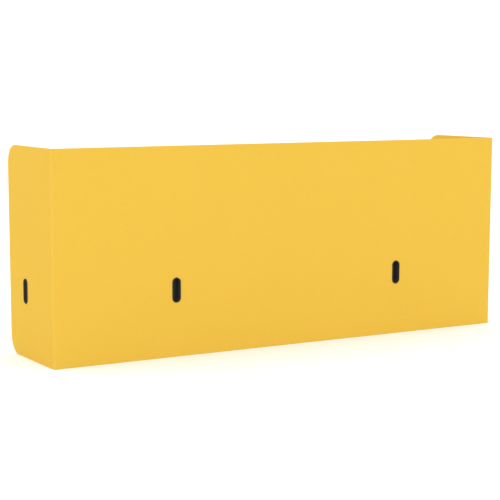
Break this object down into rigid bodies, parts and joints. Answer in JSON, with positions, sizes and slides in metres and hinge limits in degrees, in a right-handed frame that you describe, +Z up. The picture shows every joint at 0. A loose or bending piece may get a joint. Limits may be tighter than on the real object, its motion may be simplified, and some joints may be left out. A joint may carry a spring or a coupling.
{
  "type": "crowd control barrier",
  "caption": "Free-standing solid-wall crowd barrier: a yellow sheet folded to a U in plan, with blind black hand-hold cups in upright slots.",
  "frame": {"origin": "middle of the footprint, rims of the front hand-holds included, on the ground", "axes": "+X along the front wall, from the left return to the right return as seen from the front; -Y is the front, which the crowd sees; +Z is up"},
  "size_m": [2.4994, 0.5207, 0.975],
  "materials": {
    "yellow_sheet": "matte, fine grain",
    "black_moulding": "matte, spark-eroded texture",
    "screw_steel": "turned, satin"
  },
  "bodies": {
    "root": {"folded_wall": "yellow_sheet", "front_left_hand_hold": "black_moulding", "front_left_screws": "screw_steel", "front_right_hand_hold": "black_moulding", "front_right_screws": "screw_steel", "left_return_hand_hold": "black_moulding", "left_return_screws": "screw_steel", "right_return_hand_hold": "black_moulding", "right_return_screws": "screw_steel"}
  },
  "joints": []
}
